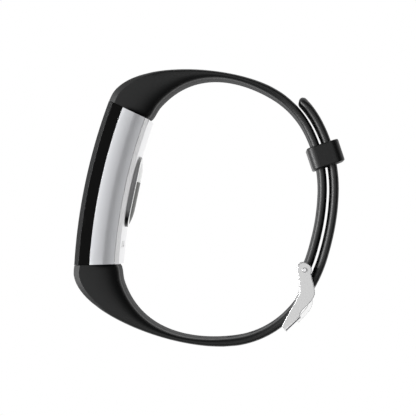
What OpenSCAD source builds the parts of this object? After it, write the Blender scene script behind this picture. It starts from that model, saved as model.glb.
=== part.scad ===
// Fitness tracker band: a curved case with a silicone strap at each end, closed by a tang buckle.
// It lies on its side: +Z is the wrist's axis, the display faces -X, and +Y runs up the case.
// The origin is at the middle of the closed loop, on the surface that it lies on.

/* [Loop] */
// Depth of the closed loop, from the display's crown to the strap's outer layer
loop_depth = 66.4; // [60:0.2:84]
// Height of the closure's tangent point above the origin
closure_y = 0.35; // [-3:0.05:3]
// Gap between the two strap layers
layer_gap = 0.9; // [0.5:0.05:1.2]

/* [Case] */
// Length of the case's front, seam to seam
case_l = 44; // [38:0.5:54]
// Width of the case along the wrist's axis
case_w = 19.8; // [18:0.1:30]
// Thickness of the case at its middle
case_t = 11.7; // [11:0.1:15]
// Height of the case's middle above the origin
case_y = 0.2; // [-3:0.05:3]
// Radius of the case's lengthwise curve at the glass
front_r = 147; // [90:1:260]
// Slope of the case's ends towards the back, in degrees
end_draft = 13.4; // [4:0.2:18]
// How far the case's sides fall away from their flat land
side_crown = 0.9; // [0.3:0.1:1.4]
// Width of the flat land along each side
side_land = 2.6; // [1:0.1:4]
// Wall of the case shell
shell_wall = 1.0; // [0.8:0.1:1.6]
// Thickness of the cover glass
glass_t = 1.2; // [0.8:0.1:1.6]
// Depth at which the black front frame meets the silver shell
frame_depth = 4.0; // [3.2:0.1:5]
// Thickness of the back cover
back_t = 1.1; // [0.8:0.1:1.4]
// Clearance between case parts that are fitted together
fit_gap = 0.08; // [0.05:0.01:0.15]

/* [Inside the case] */
// Thickness of the display panel
display_t = 1.3; // [0.8:0.1:1.6]
// Thickness of the mid frame's plate
plate_t = 0.8; // [0.6:0.1:1.2]
// Length of the battery along the case
battery_l = 17; // [12:0.5:19]
// Width of the battery
battery_w = 13.5; // [10:0.5:15]
// Thickness of the battery
battery_t = 4.0; // [3:0.1:4.4]
// Length of the main board along the case
board_l = 15; // [12:0.5:16]
// Width of the main board
board_w = 14.4; // [12:0.2:15.4]
// Thickness of the main board
board_t = 0.8; // [0.6:0.1:1.2]
// Diameter of the vibration motor's can
motor_d = 3.6; // [3:0.1:4]
// Length of the vibration motor's can
motor_l = 7; // [5:0.5:8]

/* [Sensor] */
// Length of the raised sensor housing
sensor_l = 18.9; // [15:0.1:23]
// Width of the raised sensor housing
sensor_w = 10.9; // [8:0.1:13]
// Height of the sensor housing above the back cover
sensor_h = 2.0; // [1.5:0.05:3]
// Wall of the sensor housing
sensor_wall = 1.0; // [0.8:0.1:1.5]
// Thickness of the sensor's window
window_t = 0.8; // [0.6:0.1:1.2]
// Length of the light upper part of the window
cap_l = 5.6; // [4:0.2:8]

/* [Straps] */
// Thickness of the straps around the closure
strap_t = 2.2; // [1.6:0.05:2.6]
// Width of the straps at the case
strap_root_w = 19.2; // [17:0.1:24]
// Width of the straps at the closure
strap_tail_w = 16.4; // [14:0.1:20]
// Clearance between a strap's end and the case
seam_gap = 0.1; // [0.05:0.01:0.3]
// Distance between adjusting holes along the strap
hole_pitch = 5.8; // [5:0.1:7]
// Length of an adjusting hole
hole_l = 3.4; // [3.2:0.1:4]
// Width of an adjusting hole
hole_w = 2.4; // [2.2:0.1:3]
// Number of holes between the tang and the case
holes_inner = 4; // [2:1:5]
// Number of holes between the tang and the strap's tip
holes_outer = 4; // [2:1:6]
// Radius of the upper strap's eye around the spring bar
eye_r = 1.6; // [1.5:0.05:1.9]

/* [Buckle] */
// Thickness of the buckle's side plates
side_plate_t = 1.2; // [0.8:0.1:1.6]
// Clearance between the strap's edge and each side plate
side_gap = 0.5; // [0.3:0.05:0.8]
// Radius of the side plate around the spring bar
plate_eye_r = 1.9; // [1.7:0.05:2.4]
// Radius of the spring bar's tube
bar_r = 0.9; // [0.8:0.02:1]
// Radius of the spring bar's tips
tip_r = 0.5; // [0.4:0.02:0.55]
// Radial clearance around the spring bar and its tips
bar_gap = 0.05; // [0.03:0.01:0.08]
// Width of the tang
tang_w = 1.8; // [1.4:0.1:2]
// Thickness of the tang
tang_t = 1.1; // [0.8:0.05:1.3]

/* [Keeper] */
// Length of the keeper along the strap
keeper_l = 5.6; // [4:0.2:8]
// Wall of the keeper
keeper_wall = 1.0; // [0.9:0.1:1.4]
// Clearance between the keeper and the strap layers
keeper_gap = 0.7; // [0.6:0.05:0.9]
// Tilt of the keeper on the strap, in degrees
keeper_tilt = 4; // [0:0.5:5]

/* [Hidden] */
$fn = 48;
FINE = 360;          // fragments of the case's long arcs
EPS = 0.02;          // how far a cut runs past a face

buckle_w = strap_tail_w + 2 * (side_gap + side_plate_t);
keeper_w = strap_tail_w + 2 * (keeper_gap / 2 + keeper_wall);
mid_z = max(case_w, buckle_w) / 2;

// ---- The closure line: the middle of the gap between the strap layers, as a run of arcs.
// Each arc is [radius, sweep]; a place on it is named by its heading, 90 being straight up.
LINE = [[60, 8], [22.5, 37], [35, 28], [75, 5], [58, 10], [35.5, 29], [25.5, 36]];
line_h0 = 12;
closure_x = loop_depth / 2 - strap_t - layer_gap / 2;
function out(h) = [sin(h), -cos(h)];
function walk(h, i = 0, a = line_h0) = i >= len(LINE) ? [0, 0] : let(b = min(h, a + LINE[i][1]))
    LINE[i][0] * (out(b) - out(a)) + (h <= a + LINE[i][1] ? [0, 0] : walk(h, i + 1, a + LINE[i][1]));
function line_at(h, d = 0) = [closure_x, closure_y] + walk(h) - walk(90) + d * out(h);
function length_to(h, i = 0, a = line_h0) = i >= len(LINE) ? 0 :
    LINE[i][0] * (min(h, a + LINE[i][1]) - a) * PI / 180
    + (h <= a + LINE[i][1] ? 0 : length_to(h, i + 1, a + LINE[i][1]));
function heading_of(s, i = 0, a = line_h0) = let(full = LINE[i][0] * LINE[i][1] * PI / 180)
    s <= full || i == len(LINE) - 1 ? a + s / LINE[i][0] * 180 / PI
    : heading_of(s - full, i + 1, a + LINE[i][1]);
function run(h1, h2, d, step = 3) = let(n = ceil(abs(h2 - h1) / step))
    [for (i = [0:n]) line_at(h1 + (h2 - h1) * i / n, d)];
function bezier(p, q, r, s, n = 14) = [for (i = [0:n]) let(t = i / n, u = 1 - t)
    u * u * u * p + 3 * u * u * t * q + 3 * u * t * t * r + t * t * t * s];
function along(h) = [cos(h), sin(h)];
function reversed(v) = [for (i = [len(v) - 1:-1:0]) v[i]];

// Where things sit along the closure line, as headings.
pin_h = 77.1;         // spring bar
tang_hole_h = 69.6;   // the hole that the tang is through
top_h = 158;          // the upper strap leaves the line here
bottom_h = 20;        // the lower strap leaves the line here
tip_h = 144.5;        // end of the lower strap's tail
keeper_h = 116.3;     // middle of the keeper
keeper_off = 0.3;     // the keeper sits this far out from the line

inner_face = layer_gap / 2;
outer_face = inner_face + strap_t;
pin = line_at(pin_h, -(inner_face + eye_r - 0.1));

// ---- The case's curved frame. Depth is measured in from the glass's crown.
crown_x = -loop_depth / 2;
arc_x = crown_x + front_r;
chord_x = arc_x - sqrt(front_r * front_r - case_l * case_l / 4);
function depth_x(d, y = 0) = arc_x - sqrt(pow(front_r - d, 2) - pow(y, 2));
function end_y(x, gap = 0) = case_l / 2 + gap - (x - chord_x) * tan(end_draft);
land_mid = case_t / 2 + 0.4;
function half_w(d) = case_w / 2
    - side_crown * pow(max(0, abs(d - land_mid) - side_land / 2) / (case_t / 2 - side_land / 2), 2);

// A slice of the case between two depths, set in from its sides and ends.
module case_slice(d1, d2, side_in = 0, end_in = 0) {
    n = 6;
    depths = [for (i = [0:n]) d1 + (d2 - d1) * i / n];
    section = concat([for (d = depths) [front_r - d, half_w(d) - side_in]],
        [for (d = reversed(depths)) [front_r - d, side_in - half_w(d)]]);
    x1 = crown_x - 3;
    x2 = crown_x + case_t + 6;
    intersection() {
        translate([arc_x, case_y, mid_z]) rotate([0, 0, 168])
            rotate_extrude(angle = 24, $fn = FINE) polygon(section);
        linear_extrude(height = 2 * mid_z) translate([0, case_y])
            polygon([[x1, -end_y(x1, -end_in)], [x2, -end_y(x2, -end_in)],
                [x2, end_y(x2, -end_in)], [x1, end_y(x1, -end_in)]]);
    }
}

// A ring of the case: a slice with its middle taken out.
module case_ring(d1, d2, side_in, wall) {
    difference() {
        case_slice(d1, d2, side_in, side_in);
        case_slice(d1 - EPS, d2 + EPS, side_in + wall, side_in + wall);
    }
}

// A box given by its low and high corners, with Y measured from the case's middle and Z from mid width.
module block(lo, hi) {
    translate([lo[0], case_y + lo[1], mid_z + lo[2]]) cube([hi[0] - lo[0], hi[1] - lo[1], hi[2] - lo[2]]);
}

// A rod along X.
module rod_x(x1, x2, y, z, r) {
    translate([x1, case_y + y, mid_z + z]) rotate([0, 90, 0]) cylinder(h = x2 - x1, r = r);
}

// A rod along Z, from z1 to z2 about mid width, at a place in plan.
module rod_z(p, z1, z2, r) {
    translate([p[0], p[1], mid_z + z1]) cylinder(h = z2 - z1, r = r);
}

// A round-ended block along Y, from x1 to x2. Its ends keep a short flat, pill_flat wide.
pill_flat = 0.5;
module pill_x(x1, x2, l, w) {
    r = (w - pill_flat) / 2;
    translate([x1, case_y, mid_z]) rotate([0, 90, 0]) linear_extrude(height = x2 - x1)
        union() {
            square([w, l - 2 * r], center = true);
            square([w - 2 * r, l], center = true);
            for (i = [-1, 1], j = [-1, 1]) translate([i * (w / 2 - r), j * (l / 2 - r)]) circle(r = r);
        }
}

// ---- Depths of the layers in the case
glass_bevel = 0.9;
gasket_t = 0.3;
frame_lip = 0.8;                        // the frame's edge that stands around the gasket
display_d = glass_t + 0.05;
mid_d = display_d + display_t + 0.15;
mid_back = mid_d + plate_t;
back_d = case_t - back_t;
cavity_side = shell_wall + fit_gap;
battery_y = 1.2;                        // battery's lower edge above the case's middle
battery_x = depth_x(mid_back, battery_y + battery_l) + 0.15;
board_y = -1.6;                         // board's upper edge
board_x = depth_x(mid_back, board_l - board_y) + 0.5;
back_x = depth_x(case_t);               // back of the case at its middle
sensor_x = back_x + sensor_h;           // top of the sensor housing

// The glass, with its long edges bevelled back towards the case's sides.
module front_glass() {
    low_r = front_r - glass_t;
    half = half_w(glass_t);
    color("#0b0c0e") intersection() {
        case_slice(0, glass_t);
        translate([arc_x, case_y, mid_z]) rotate([0, 0, 168]) rotate_extrude(angle = 24, $fn = FINE)
            polygon([[low_r - 1, -half - 1], [low_r - 1, half + 1], [low_r, half],
                [front_r, half - glass_bevel], [front_r, glass_bevel - half], [low_r, -half]]);
    }
}

module glass_gasket() color("#2a2a2a") case_ring(glass_t, glass_t + gasket_t, frame_lip + 0.1, 0.8);

module front_frame() {
    color("#0d0d0d") union() {
        case_ring(glass_t + gasket_t, frame_depth, 0, shell_wall);
        case_ring(glass_t + EPS, glass_t + gasket_t + EPS, 0, frame_lip);
    }
}

module display_panel() {
    color("#101418") case_slice(display_d, display_d + display_t, cavity_side + 0.8, 2.6);
}

module display_flex() {
    color("#b5651d") block([depth_x(display_d + display_t, 4), -4, 6.9], [board_x - 0.1, 1, 7.15]);
}

module mid_frame() {
    post = 1.1;
    color("#5a5d60") difference() {
        union() {
            case_slice(mid_d, mid_back, cavity_side, cavity_side);
            for (j = [-1, 1], y = [board_y - 1.6, board_y - board_l + 1.6])
                rod_x(depth_x(mid_d + plate_t / 2, y), board_x, y, j * (board_w / 2 - 1.4), post);
        }
        block([crown_x, -4.2, 6.6], [0, 1.2, 7.45]);
    }
}

module main_board() {
    color("#1d5a34") block([board_x, board_y - board_l, -board_w / 2],
        [board_x + board_t, board_y, board_w / 2]);
}

module shield_can() {
    x = board_x + board_t;
    color("silver") difference() {
        block([x, -9.6, -5], [x + 1.2, board_y - 0.6, 5]);
        block([x - EPS, -9.3, -4.7], [x + 1.0, board_y - 0.9, 4.7]);
    }
}

module chipset() {
    x = board_x + board_t;
    color("#202020") union() {
        block([x, -8.6, -4], [x + 0.8, -4.4, 0.4]);
        block([x, -8.2, 1.4], [x + 0.7, -5.2, 4.2]);
        block([x, board_y - board_l + 1, -6], [x + 0.7, board_y - board_l + 3.4, -3]);
    }
}

module battery() {
    color("#9aa0a6") block([battery_x, battery_y, -battery_w / 2],
        [battery_x + battery_t, battery_y + battery_l, battery_w / 2]);
}

module battery_lead() {
    color("#a33") block([board_x + board_t, board_y - 1.2, 5.6], [board_x + board_t + 0.5, battery_y, 6.6]);
}

// ---- Vibration motor, across the case at its lower end
motor_y = -11.6;
motor_x = board_x + board_t + 0.3 + motor_d / 2;
motor_z = -motor_l / 2 - 1;
weight_l = 3;
module motor_can() {
    color("silver") difference() {
        rod_z([motor_x, case_y + motor_y], motor_z, motor_z + motor_l, motor_d / 2);
        rod_z([motor_x, case_y + motor_y], motor_z + 1, motor_z + motor_l + EPS, 0.4);
    }
}

module motor_rotor() {
    p = [motor_x, case_y + motor_y];
    color("#77797c") union() {
        rod_z(p, motor_z + 1.2, motor_z + motor_l + 0.4 + weight_l, 0.35);
        translate([p[0], p[1], mid_z + motor_z + motor_l + 0.4]) linear_extrude(height = weight_l)
            intersection() {
                circle(r = motor_d / 2);
                translate([-motor_d / 2, -motor_d]) square([motor_d, motor_d + 0.5]);
            }
    }
}

module antenna() {
    color("#c9a227") block([battery_x + battery_t + 0.1, battery_y + 1, -1.4],
        [battery_x + battery_t + 0.4, battery_y + battery_l - 1, 1.4]);
}

// ---- Strap fixing: a stiff insert moulded into each strap's end, screwed through the case's end wall
insert_l = 5;
insert_t = 4.4;
insert_w = 13;
insert_x = depth_x(frame_depth, case_l / 2 - 1) + 1.1;
screw_r = 0.6;
// Everything that sits square on a case end is placed by this: it maps the end plane to Y = 0.
module on_end(side) {
    x0 = insert_x + insert_t / 2;
    translate([x0, case_y + side * end_y(x0), mid_z]) mirror([0, side < 0 ? 1 : 0, 0])
        rotate([0, 0, -end_draft]) children();
}

module insert_shape(grow = 0) {
    translate([-insert_t / 2 - grow, seam_gap - (grow > 0 ? 1 : 0), -insert_w / 2 - grow])
        cube([insert_t + 2 * grow, insert_l + grow + (grow > 0 ? 1 : 0), insert_w + 2 * grow]);
}

module strap_insert(side) {
    color("#3a3c3f") difference() {
        on_end(side) insert_shape();
        on_end(side) for (j = [-1, 1]) translate([0, -1, j * 4]) rotate([-90, 0, 0])
            cylinder(h = 5, r = screw_r + 0.02);
    }
}

module upper_insert() strap_insert(1);
module lower_insert() strap_insert(-1);

module strap_screws() {
    color("#8f9194") for (side = [-1, 1]) on_end(side) for (j = [-1, 1]) translate([0, 0, j * 4]) union() {
        rotate([-90, 0, 0]) translate([0, 0, -shell_wall - 0.02]) cylinder(h = shell_wall + 4, r = screw_r);
        rotate([-90, 0, 0]) translate([0, 0, -shell_wall - 0.7]) cylinder(h = 0.68, r = 1.1);
    }
}

module case_shell() {
    color("#c4c5c8") difference() {
        case_ring(frame_depth + fit_gap, back_d - fit_gap, 0, shell_wall);
        for (side = [-1, 1]) on_end(side) for (j = [-1, 1]) translate([0, 1, j * 4]) rotate([90, 0, 0])
            cylinder(h = shell_wall + 3, r = screw_r + 0.02);
    }
}

// ---- Back of the case, with the raised optical sensor
contact_r = 0.9;
contact_y = -sensor_l / 2 - 4.7;        // charging contacts, below the sensor
contact_z = 2.6;
module back_cover() {
    low_r = front_r - case_t;
    color("#d4d5d8") difference() {
        case_slice(back_d, case_t, 0, 0);
        // its long edges are bevelled
        translate([arc_x, case_y, mid_z]) rotate([0, 0, 165]) rotate_extrude(angle = 30, $fn = FINE)
            for (j = [-1, 1]) polygon([[low_r - 1, j * (half_w(case_t) - 0.9)],
                [low_r - EPS, j * (half_w(case_t) - 0.5)], [low_r + 0.6, j * (case_w / 2 + 0.5)],
                [low_r - 1, j * (case_w / 2 + 0.5)]]);
        pill_x(back_x - 3, back_x + 3, sensor_l + 2 * fit_gap, sensor_w + 2 * fit_gap);
        for (j = [-1, 1]) rod_x(back_x - 3, back_x + 3, contact_y, j * contact_z, contact_r + 0.05);
    }
}

module back_gasket() color("#2a2a2a")
    case_ring(back_d - gasket_t - 0.05, back_d - fit_gap / 2, shell_wall + fit_gap, 0.7);

module charging_contacts() {
    x = depth_x(back_d, contact_y) - 0.8;
    color("#d8b24a") for (j = [-1, 1]) union() {
        rod_x(x, depth_x(case_t, contact_y) - 0.05, contact_y, j * contact_z, contact_r);
        rod_x(x, x + 0.4, contact_y, j * contact_z, contact_r + 0.4);
    }
}

sensor_foot_x = back_x - 1.4;           // the housing's foot, inside the case
sensor_bore_l = sensor_l - 2 * sensor_wall;
sensor_bore_w = sensor_w - 2 * sensor_wall;
module sensor_housing() {
    color("#8a8c8f") difference() {
        pill_x(sensor_foot_x, sensor_x, sensor_l, sensor_w);
        pill_x(back_x - 2, sensor_x + 1, sensor_bore_l, sensor_bore_w);
    }
}

window_l = sensor_bore_l - 0.1;
window_w = sensor_bore_w - 0.1;
module window_blank(x1, x2) pill_x(x1, x2, window_l, window_w);

module sensor_window() {
    color("#23241f") intersection() {
        window_blank(sensor_x - 0.1 - window_t, sensor_x - 0.1);
        block([sensor_x - 4, -sensor_l, -sensor_w], [sensor_x, window_l / 2 - cap_l - 0.05, sensor_w]);
    }
}

module light_cap() {
    color("#d9dad8") intersection() {
        window_blank(sensor_x - 0.1 - window_t, sensor_x - 0.1);
        block([sensor_x - 4, window_l / 2 - cap_l, -sensor_w], [sensor_x, sensor_l, sensor_w]);
    }
}

sensor_board_t = 0.6;
module sensor_board() {
    color("#1d5a34")
        pill_x(sensor_foot_x, sensor_foot_x + sensor_board_t, window_l - 0.2, window_w - 0.2);
}

module sensor_leds() {
    x = sensor_foot_x + sensor_board_t;
    color("#7fd67a") for (y = [-5.4, 1]) block([x, y - 0.8, -0.8], [x + 0.9, y + 0.8, 0.8]);
}

module photodiode() {
    x = sensor_foot_x + sensor_board_t;
    color("#3b2f4a") block([x, -3.4, -1.4], [x + 0.8, -0.8, 1.4]);
}

// ---- Straps
strap_in = depth_x(case_t - 0.6, case_l / 2 - 2.5);   // where the strap's inner face meets the case
taper_x1 = -24;
taper_x2 = 12;

// Narrows an outline's extrusion from the case's width to the closure's.
module strap_solid() {
    a = strap_root_w / 2;
    b = strap_tail_w / 2;
    intersection() {
        translate([0, 0, mid_z - strap_root_w / 2]) linear_extrude(height = strap_root_w) children();
        translate([0, 60, mid_z]) rotate([90, 0, 0]) linear_extrude(height = 120)
            polygon([[-60, -a], [taper_x1, -a], [taper_x2, -b], [60, -b], [60, b], [taper_x2, b],
                [taper_x1, a], [-60, a]]);
    }
}

// One long outline: out along the closure's run, over to the case's front corner, and back inside.
function strap_outline(run_out, run_in, lead_out, lead_in, front, back, lead_front, lead_back) =
    let(a = run_out[len(run_out) - 1], b = run_in[len(run_in) - 1])
    concat(run_out, bezier(a, a + lead_out, front + lead_front, front),
        bezier(back, back + lead_back, b + lead_in, b), reversed(run_in));

module upper_strap_plan() {
    front = [chord_x, case_y + end_y(chord_x, seam_gap)];
    back = [strap_in, case_y + end_y(strap_in, seam_gap)];
    polygon(strap_outline(run(pin_h, top_h, -inner_face), run(pin_h, top_h, -outer_face),
        13.5 * along(158), 4.2 * along(158), front, back, 11.8 * along(84.6), 21.9 * along(69.8)));
    translate(pin) circle(r = eye_r);
}

module lower_strap_plan() {
    front = [chord_x, case_y - end_y(chord_x, seam_gap)];
    back = [strap_in, case_y - end_y(strap_in, seam_gap)];
    tail = line_at(tip_h, (inner_face + outer_face) / 2);
    round_end = [for (a = [180:-20:0]) tail + strap_t / 2 * along(tip_h - 90 + a)];
    polygon(concat(round_end, strap_outline(
        run(tip_h - 1, bottom_h, outer_face), run(tip_h - 1, bottom_h, inner_face),
        16.2 * along(200), 4 * along(200), front, back, 11.6 * along(-92.6), 22.9 * along(-69.4))));
}

module upper_strap() {
    color("#26272a") difference() {
        strap_solid() upper_strap_plan();
        on_end(1) insert_shape(fit_gap);
        rod_z(pin, -strap_tail_w, strap_tail_w, bar_r + bar_gap);
        rod_z(pin, -tang_w / 2 - 0.25, tang_w / 2 + 0.25, eye_r + 0.25);
    }
}

// A round-ended cutter for one adjusting hole, square to the strap at a heading.
module hole_cutter(h) {
    translate([line_at(h)[0], line_at(h)[1], mid_z]) rotate([0, 0, h - 90]) union() {
        translate([-1, -(hole_l - hole_w) / 2, -hole_w / 2]) cube([outer_face + 3, hole_l - hole_w, hole_w]);
        for (j = [-1, 1]) translate([-1, j * (hole_l - hole_w) / 2, 0]) rotate([0, 90, 0])
            cylinder(h = outer_face + 3, r = hole_w / 2);
    }
}

module lower_strap() {
    color("#26272a") difference() {
        strap_solid() lower_strap_plan();
        on_end(-1) insert_shape(fit_gap);
        for (k = [-holes_outer:holes_inner]) hole_cutter(heading_of(length_to(tang_hole_h) - k * hole_pitch));
    }
}

// ---- Spring bar
tube_half = strap_tail_w / 2 - 0.3;
tube_lip = 0.8;                         // the tube's closed-in end, which stops the tip's collar
tube_bore = tip_r + 0.12;
collar_l = 1;
tip_inner = tube_half - tube_lip - collar_l - 0.3;
tip_end = buckle_w / 2 - 0.05;
module spring_bar_tube() {
    color("#b9babd") difference() {
        rod_z(pin, -tube_half, tube_half, bar_r);
        rod_z(pin, -tube_half - 1, tube_half + 1, tip_r + bar_gap);
        rod_z(pin, tube_lip - tube_half, tube_half - tube_lip, tube_bore);
    }
}

module bar_tip(side) {
    color("#c9cacc") translate([pin[0], pin[1], mid_z]) mirror([0, 0, side < 0 ? 1 : 0])
        translate([0, 0, tip_inner]) union() {
            cylinder(h = tip_end - tip_inner, r = tip_r);
            cylinder(h = collar_l, r = tube_bore - 0.03);
        }
}

module spring_bar_tip_front() bar_tip(1);
module spring_bar_tip_rear() bar_tip(-1);

// A coil spring swept as one tube along a helix.
module bar_spring() {
    turns = 11;
    sides = 5;
    steps = turns * 9;
    wire = 0.09;
    r = tube_bore - 0.05 - wire;
    half = tip_inner - wire - 0.02;
    rings = [for (i = [0:steps]) let(a = i * 360 * turns / steps, z = -half + 2 * half * i / steps)
        [for (j = [0:sides - 1]) let(b = j * 360 / sides, q = r + wire * cos(b))
            [q * cos(a), q * sin(a), z + wire * sin(b)]]];
    points = [for (g = rings) for (p = g) p];
    walls = [for (i = [0:steps - 1], j = [0:sides - 1]) let(k = (j + 1) % sides)
        [i * sides + k, (i + 1) * sides + k, (i + 1) * sides + j, i * sides + j]];
    caps = [[for (j = [sides - 1:-1:0]) j], [for (j = [0:sides - 1]) steps * sides + j]];
    color("#9c9ea1") translate([pin[0], pin[1], mid_z])
        polyhedron(points, concat(walls, caps), convexity = 6);
}

// ---- Buckle
bar_h1 = 49.8;        // crossbar's lower edge, as a heading
bar_h2 = 59.8;        // crossbar's upper edge
bar_in = outer_face + 0.4;
bar_out = outer_face + 1.62;
bar_notch = 0.5;
module side_plate_plan() {
    difference() {
        union() {
            polygon([pin + (plate_eye_r - 0.1) * out(75), line_at(72.1, outer_face),
                line_at(70.2, outer_face + 0.85), line_at(67.4, outer_face + 1.1),
                line_at(62.1, outer_face + 0.5), line_at(60.4, outer_face + 0.8),
                line_at(bar_h2, bar_out), line_at(bar_h1, bar_out), line_at(bar_h1, outer_face - 0.3),
                line_at(66.3, inner_face - 0.35), line_at(68.1, inner_face - 0.65),
                pin - (plate_eye_r - 0.1) * out(85)]);
            translate(pin) circle(r = plate_eye_r);
        }
        translate(pin) circle(r = tip_r + bar_gap);
    }
}

module buckle_frame() {
    color("#d0d1d2") difference() {
        union() {
            for (z = [-buckle_w / 2, buckle_w / 2 - side_plate_t]) translate([0, 0, mid_z + z])
                linear_extrude(height = side_plate_t) side_plate_plan();
            translate([0, 0, mid_z - buckle_w / 2]) linear_extrude(height = buckle_w)
                polygon([line_at(bar_h2, bar_in), line_at(bar_h2, bar_out),
                    line_at(bar_h1, bar_out), line_at(bar_h1, bar_in)]);
        }
        translate([0, 0, mid_z - tang_w / 2 - 0.2]) linear_extrude(height = tang_w + 0.4)
            polygon([line_at(bar_h2 + 3, bar_out - bar_notch), line_at(bar_h2 + 3, bar_out + 1),
                line_at(56.2, bar_out + 1), line_at(56.2, bar_out - bar_notch)]);
    }
}

// The tang's side view: its middle line, thickened to both sides.
tang_path = [pin, line_at(72.4, -1.25), line_at(70.4, -0.35), line_at(69.2, 1.1),
    line_at(68.1, 3.0), line_at(66.4, 4.15), line_at(63.4, 4.55), line_at(57.4, 4.4)];
function side_of(p, i, d) =
    let(a = p[max(i - 1, 0)], b = p[min(i + 1, len(p) - 1)], t = (b - a) / norm(b - a))
    p[i] + d * [-t[1], t[0]];
module tang() {
    h = tang_t / 2;
    n = len(tang_path) - 1;
    color("#dfe0e1") difference() {
        union() {
            translate([0, 0, mid_z - tang_w / 2]) linear_extrude(height = tang_w)
                polygon(concat([for (i = [0:n]) side_of(tang_path, i, h)],
                    [for (i = [n:-1:0]) side_of(tang_path, i, -h)]));
            rod_z(pin, -tang_w / 2, tang_w / 2, eye_r - 0.05);
        }
        rod_z(pin, -tang_w, tang_w, bar_r + bar_gap);
    }
}

// ---- Keeper: a loop around both strap layers, turned a little on them
keeper_rise = (outer_face * 2 + 2 * keeper_gap) / 2;   // half of the opening, across the layers
module keeper() {
    c = line_at(keeper_h, keeper_off);
    color("#303132") translate([c[0], c[1], mid_z]) rotate([0, 0, keeper_h - 90 + keeper_tilt]) difference() {
        linear_extrude(height = keeper_w, center = true) union() {
            square([2 * (keeper_rise + keeper_wall) - 1, keeper_l], center = true);
            square([2 * (keeper_rise + keeper_wall), keeper_l - 1], center = true);
            for (i = [-1, 1], j = [-1, 1])
                translate([i * (keeper_rise + keeper_wall - 0.5), j * (keeper_l / 2 - 0.5)]) circle(r = 0.5);
        }
        cube([2 * keeper_rise, keeper_l + 2, strap_tail_w + keeper_gap], center = true);
    }
}

front_glass();
front_frame();
glass_gasket();
display_panel();
display_flex();
mid_frame();
main_board();
shield_can();
chipset();
battery();
battery_lead();
motor_can();
motor_rotor();
antenna();
case_shell();
back_cover();
back_gasket();
charging_contacts();
sensor_housing();
sensor_window();
light_cap();
sensor_board();
sensor_leds();
photodiode();
strap_screws();
upper_insert();
lower_insert();
upper_strap();
lower_strap();
spring_bar_tube();
spring_bar_tip_front();
spring_bar_tip_rear();
bar_spring();
buckle_frame();
tang();
keeper();
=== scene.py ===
# A fitness tracker band, buckled shut and lying on its side: a curved aluminium case with black
# glass, an optical sensor on its back, and two silicone straps held by a tang buckle and a keeper.
import math

import bmesh
import bpy
from mathutils import Matrix, Vector


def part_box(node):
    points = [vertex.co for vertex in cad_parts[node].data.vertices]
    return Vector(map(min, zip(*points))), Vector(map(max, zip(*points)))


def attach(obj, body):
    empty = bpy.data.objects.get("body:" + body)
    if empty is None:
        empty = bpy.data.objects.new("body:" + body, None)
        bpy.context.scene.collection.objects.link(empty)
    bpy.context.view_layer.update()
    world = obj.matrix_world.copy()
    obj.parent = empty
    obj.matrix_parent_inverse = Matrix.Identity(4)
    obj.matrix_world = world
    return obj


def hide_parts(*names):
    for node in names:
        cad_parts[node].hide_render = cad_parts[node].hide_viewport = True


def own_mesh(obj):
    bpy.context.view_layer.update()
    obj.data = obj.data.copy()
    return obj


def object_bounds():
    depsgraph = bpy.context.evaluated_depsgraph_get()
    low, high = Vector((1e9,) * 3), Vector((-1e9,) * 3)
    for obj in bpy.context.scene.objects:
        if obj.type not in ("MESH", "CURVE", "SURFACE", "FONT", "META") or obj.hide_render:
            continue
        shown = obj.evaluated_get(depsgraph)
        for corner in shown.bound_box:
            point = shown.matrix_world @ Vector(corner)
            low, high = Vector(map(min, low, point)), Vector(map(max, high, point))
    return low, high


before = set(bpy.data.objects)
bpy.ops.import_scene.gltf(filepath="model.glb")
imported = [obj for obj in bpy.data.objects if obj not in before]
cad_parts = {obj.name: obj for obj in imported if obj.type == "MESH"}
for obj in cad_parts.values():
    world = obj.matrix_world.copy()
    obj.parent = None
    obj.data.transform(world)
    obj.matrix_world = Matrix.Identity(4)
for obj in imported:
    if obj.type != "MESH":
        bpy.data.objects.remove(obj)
cad_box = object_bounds()
MM = 0.001

# ---- Camera and studio -------------------------------------------------------------------------
# The band lies on a light table and the camera looks almost straight down the wrist's axis, from
# a little towards the buckle. A large soft box stands to the left, with less light elsewhere.
near_z = cad_box[1][2]
camera_height = 545 * MM
seen_width = 108.333 * MM                 # how much the frame takes in at the band's upper side
aim = Vector((-0.31 * MM, 0.09 * MM, near_z))
eye = Vector((17.8 * MM, -1.4 * MM, near_z + camera_height))
view_up = Vector((-0.207, 0.978, 0))

camera = bpy.data.objects.new("camera", bpy.data.cameras.new("camera"))
bpy.context.scene.collection.objects.link(camera)
backward = (eye - aim).normalized()
sideways = view_up.cross(backward).normalized()
turn = Matrix((sideways, backward.cross(sideways), backward)).transposed()
camera.matrix_world = Matrix.Translation(eye) @ turn.to_4x4()
camera.data.lens = camera.data.sensor_width * camera_height / seen_width
camera.data.clip_start = 0.01
bpy.context.scene.camera = camera


def rgb(hex_colour):
    """A linear colour from an sRGB hex value such as #8b8c90."""
    parts = [int(hex_colour[i:i + 2], 16) / 255 for i in (1, 3, 5)]
    return [c / 12.92 if c <= 0.04045 else ((c + 0.055) / 1.055) ** 2.4 for c in parts] + [1.0]


def soft_box(name, place, width, height, glow):
    """A rectangular area lamp that faces the band; glow is how bright its face looks."""
    lamp = bpy.data.lights.new(name, "AREA")
    lamp.shape = "RECTANGLE"
    lamp.size, lamp.size_y = width, height
    lamp.energy = glow * math.pi * width * height
    box = bpy.data.objects.new(name, lamp)
    box.location = place
    box.rotation_euler = (-Vector(place)).to_track_quat("-Z", "Y").to_euler()
    bpy.context.scene.collection.objects.link(box)


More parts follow.
